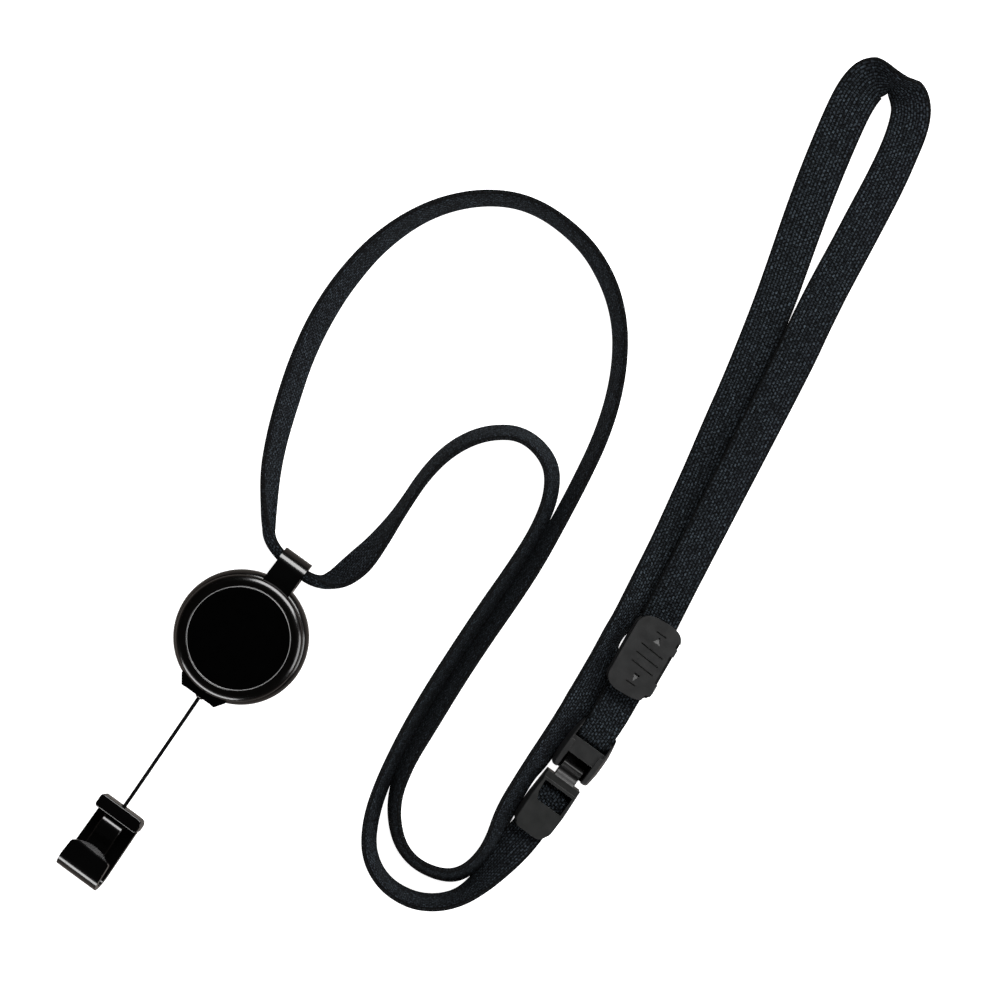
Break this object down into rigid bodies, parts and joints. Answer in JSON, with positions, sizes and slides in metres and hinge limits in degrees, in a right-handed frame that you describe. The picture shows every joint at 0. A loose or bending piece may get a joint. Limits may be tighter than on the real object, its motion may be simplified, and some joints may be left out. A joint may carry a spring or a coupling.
{
  "type": "lanyard badge holder",
  "caption": "Neck lanyard of flat black braid with a retractable badge reel, a sprung hook, a length adjuster and a breakaway buckle.",
  "frame": {"origin": "centre of the reel's back face, on the surface that the lanyard lies on", "axes": "+Y from the reel's cord exit to its hanger loop, +Z out of the reel's face, away from the surface, +X to the buckle side"},
  "size_m": [0.1236, 0.2802, 0.009],
  "materials": {
    "strap_fabric": "flat woven black braid",
    "reel_plastic": "gloss black moulding",
    "face_label": "smooth deep black inlay",
    "hook_plastic": "gloss black moulding",
    "buckle_plastic": "fine satin black moulding",
    "inner_plastic": "plain black moulding",
    "cord_fibre": "fine braided black cord",
    "steel": "dark zinc",
    "grip_rubber": "ribbed rubber"
  },
  "bodies": {
    "lanyard": {"strap_leg": "strap_fabric", "strap_neck": "strap_fabric", "strap_left_leg": "strap_fabric", "strap_outer_run": "strap_fabric", "strap_in_hanger": "strap_fabric", "strap_inner_run": "strap_fabric", "strap_tail": "strap_fabric", "buckle_socket": "buckle_plastic", "socket_bar": "buckle_plastic", "strap_in_socket": "strap_fabric"},
    "reel": {"rear_housing": "reel_plastic", "front_cover": "reel_plastic", "face_disc": "face_label", "case_screw_1": "steel", "case_screw_2": "steel", "case_screw_3": "steel", "power_spring": "steel", "hanger_loop": "reel_plastic", "exit_boss": "reel_plastic", "exit_bush": "inner_plastic", "pull_cord": "cord_fibre"},
    "spool": {"spool": "inner_plastic", "cord_winding": "cord_fibre"},
    "hook": {"hook_body": "hook_plastic", "hook_head": "hook_plastic", "hook_pin": "steel", "cord_knot": "cord_fibre", "cord_stop": "inner_plastic"},
    "gate": {"hook_tongue": "hook_plastic"},
    "adjuster": {"adjuster_body": "buckle_plastic", "adjuster_cover": "buckle_plastic", "adjuster_grip": "grip_rubber"},
    "plug": {"buckle_plug": "buckle_plastic", "plug_bar": "buckle_plastic", "plug_tongue": "buckle_plastic", "strap_in_plug": "strap_fabric"}
  },
  "joints": [
    {"name": "reel_swing", "type": "hinge", "parent": "lanyard", "child": "reel", "pos_m": [-0.00045, 0.02195, 0.0039], "axis": [-0.998, 0.0637, 0], "range_deg": [0, 95]},
    {"name": "hook_pull", "type": "slide", "parent": "reel", "child": "hook", "axis": [0.0209, -0.9998, 0], "range_m": [0, 0.6], "stiffness_N_per_m": 1.5, "springref_m": -0.2, "deforming": ["pull_cord"]},
    {"name": "spool_spin", "type": "hinge", "parent": "reel", "child": "spool", "pos_m": [0, 0, 0.004], "axis": [0, 0, 1], "range_deg": [-5, 3400], "deforming": ["power_spring"]},
    {"name": "gate_press", "type": "hinge", "parent": "hook", "child": "gate", "pos_m": [0.00164, -0.05366, 0.00373], "axis": [0.9923, 0.0208, 0.1219], "range_deg": [0, 12], "stiffness_Nm_per_rad": 0.02, "springref_deg": -11.46},
    {"name": "adjuster_slide", "type": "slide", "parent": "lanyard", "child": "adjuster", "axis": [-0.1566, 0.9877, 0], "range_m": [-0.009, 0.07]},
    {"name": "buckle_release", "type": "slide", "parent": "lanyard", "child": "plug", "axis": [0, -1, 0], "range_m": [0, 0.009], "deforming": ["strap_tail"]}
  ],
  "couplings": [
    {"joint": "spool_spin", "follows": "hook_pull", "rad_per_m": 98}
  ]
}
